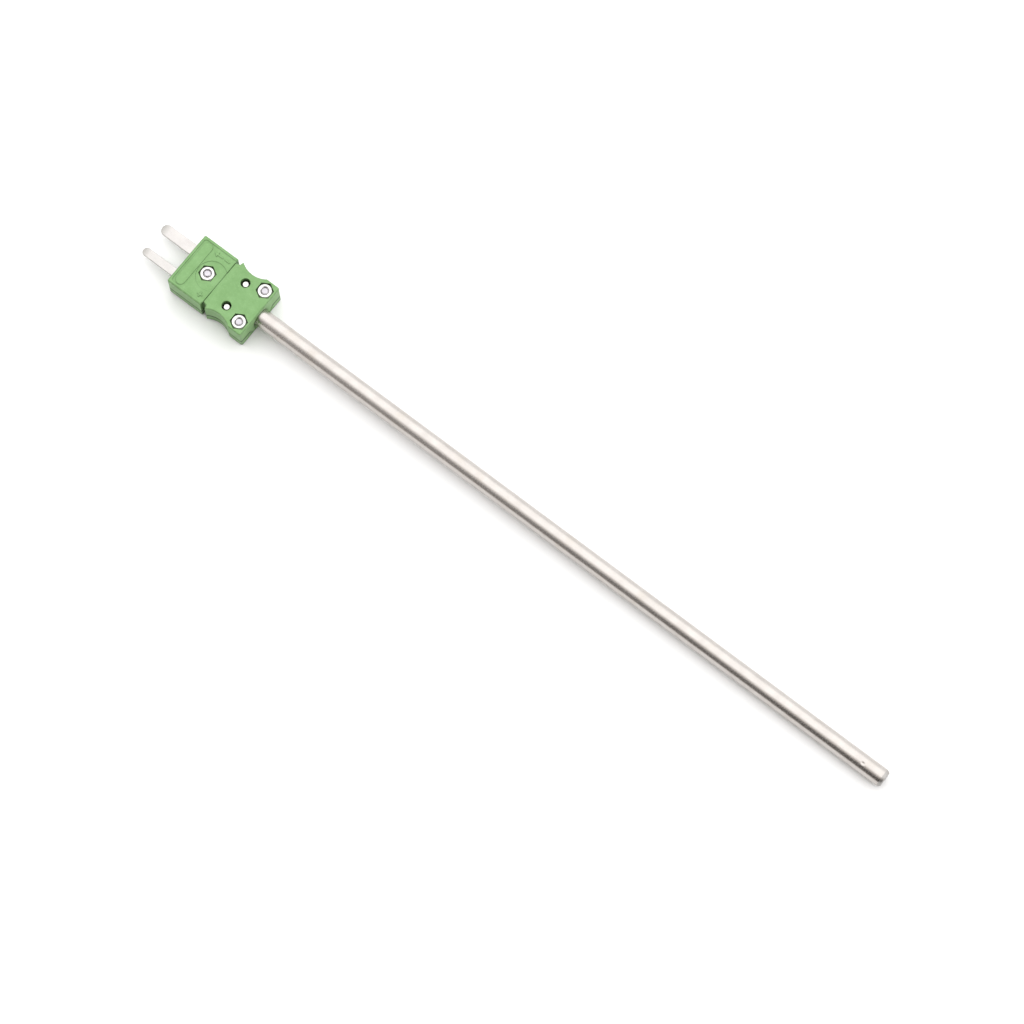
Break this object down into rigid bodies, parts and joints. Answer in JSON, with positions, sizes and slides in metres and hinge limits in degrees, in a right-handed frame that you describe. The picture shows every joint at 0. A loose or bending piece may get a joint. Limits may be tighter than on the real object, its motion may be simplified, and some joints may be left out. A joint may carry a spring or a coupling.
{
  "type": "thermocouple probe",
  "caption": "Rigid thermocouple probe: a straight closed-end steel sheath fixed in a two-blade miniature plug whose green shells are held by small screws and hexagon nuts.",
  "frame": {"origin": "on the sheath's axis, at the plug's rear face where the sheath comes out", "axes": "+X along the sheath to its closed tip, +Y across the plug to the wide (negative) blade, +Z to the side with the hexagon nuts"},
  "size_m": [0.2386, 0.0164, 0.0083],
  "materials": {
    "green_shell_nut_side": "satin moulded glass-filled thermoplastic, IEC type K green",
    "green_shell_screw_side": "satin moulded glass-filled thermoplastic, IEC type K green",
    "positive_blade_alloy": "rolled nickel-chromium strip, satin",
    "negative_blade_alloy": "rolled nickel-aluminium strip, satin",
    "plated_screw_steel": "bright zinc-plated steel",
    "plated_terminal_steel": "bright nickel-plated steel",
    "plated_nut_steel": "bright zinc-plated steel",
    "plated_washer_steel": "bright zinc-plated steel",
    "ground_stainless": "centreless-ground stainless steel, fine satin",
    "packed_magnesia": "compacted magnesia powder, chalky",
    "epoxy_resin": "cured amber epoxy",
    "welded_bead": "oxidised weld metal",
    "positive_thermoelement": "drawn nickel-chromium wire",
    "negative_thermoelement": "drawn nickel-aluminium wire"
  },
  "bodies": {
    "base": {"screw_side_shell": "green_shell_screw_side", "positive_pin": "positive_blade_alloy", "negative_pin": "negative_blade_alloy", "positive_terminal_washer": "plated_washer_steel", "negative_terminal_washer": "plated_washer_steel", "sheath_tube": "ground_stainless", "tip_plug": "ground_stainless", "mineral_insulation": "packed_magnesia", "end_seal": "epoxy_resin", "hot_junction": "welded_bead", "positive_wire": "positive_thermoelement", "negative_wire": "negative_thermoelement"},
    "lid": {"nut_side_shell": "green_shell_nut_side", "body_nut_front": "plated_nut_steel", "body_nut_rear_left": "plated_nut_steel", "body_nut_rear_right": "plated_nut_steel"},
    "front_screw": {"body_screw_front": "plated_screw_steel"},
    "rear_left_screw": {"body_screw_rear_left": "plated_screw_steel"},
    "rear_right_screw": {"body_screw_rear_right": "plated_screw_steel"},
    "positive_terminal": {"positive_terminal_screw": "plated_terminal_steel"},
    "negative_terminal": {"negative_terminal_screw": "plated_terminal_steel"}
  },
  "joints": [
    {"name": "lid_lift", "type": "slide", "parent": "base", "child": "lid", "axis": [0, 0, 1], "range_m": [0, 0.012]},
    {"name": "front_screw_turn", "type": "hinge", "parent": "base", "child": "front_screw", "pos_m": [-0.01765, 0, -0.0023], "axis": [0, 0, 1], "continuous": true},
    {"name": "rear_left_screw_turn", "type": "hinge", "parent": "base", "child": "rear_left_screw", "pos_m": [-0.0027, -0.0054, -0.0023], "axis": [0, 0, 1], "continuous": true},
    {"name": "rear_right_screw_turn", "type": "hinge", "parent": "base", "child": "rear_right_screw", "pos_m": [-0.0027, 0.0054, -0.0023], "axis": [0, 0, 1], "continuous": true},
    {"name": "positive_terminal_turn", "type": "hinge", "parent": "base", "child": "positive_terminal", "pos_m": [-0.008, -0.00395, -0.0029], "axis": [0, 0, 1], "continuous": true},
    {"name": "negative_terminal_turn", "type": "hinge", "parent": "base", "child": "negative_terminal", "pos_m": [-0.008, 0.00395, -0.0029], "axis": [0, 0, 1], "continuous": true}
  ]
}
